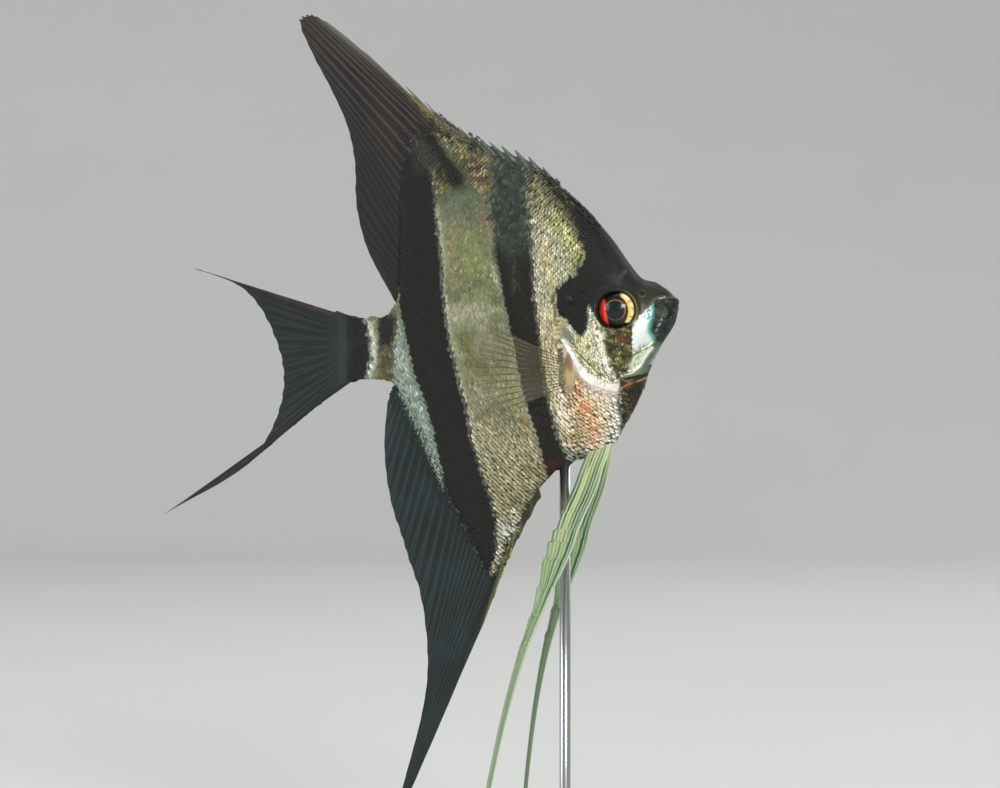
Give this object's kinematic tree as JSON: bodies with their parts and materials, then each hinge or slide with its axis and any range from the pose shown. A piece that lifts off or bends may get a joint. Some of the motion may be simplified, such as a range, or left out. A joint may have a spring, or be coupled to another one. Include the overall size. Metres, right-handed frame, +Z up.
{
  "type": "freshwater angelfish display model",
  "caption": "Still life-size model of a freshwater angelfish with spread fins, held above a round base by one thin rod.",
  "frame": {"origin": "centre of the underside of the round base, below the rod", "axes": "+X towards the fish's snout, +Y towards its left side, +Z up"},
  "size_m": [0.1486, 0.096, 0.2174],
  "materials": {
    "flesh": "painted scaled skin, silver with black bars, satin",
    "fin": "painted dark fin membrane with fine rays",
    "pale_fin": "painted pale green fin with rays",
    "clear_fin": "clear cast fin with fine rays",
    "eye": "glass eye, black pupil, gold and red iris",
    "stand_wood": "dark stained hardwood, satin lacquer",
    "stand_steel": "ground stainless rod"
  },
  "bodies": {
    "root": {"head": "flesh", "upper_jaw": "flesh", "lower_jaw": "flesh", "gill_cover_left": "flesh", "gill_cover_right": "flesh", "eye_left": "eye", "eye_right": "eye", "trunk": "flesh", "tail_root": "flesh", "dorsal_fin": "fin", "anal_fin": "fin", "tail_fin": "fin", "pelvic_fin_left": "pale_fin", "pelvic_fin_right": "pale_fin", "pectoral_fin_left": "clear_fin", "pectoral_fin_right": "clear_fin", "stand_base": "stand_wood", "stand_rod": "stand_steel"}
  },
  "joints": []
}
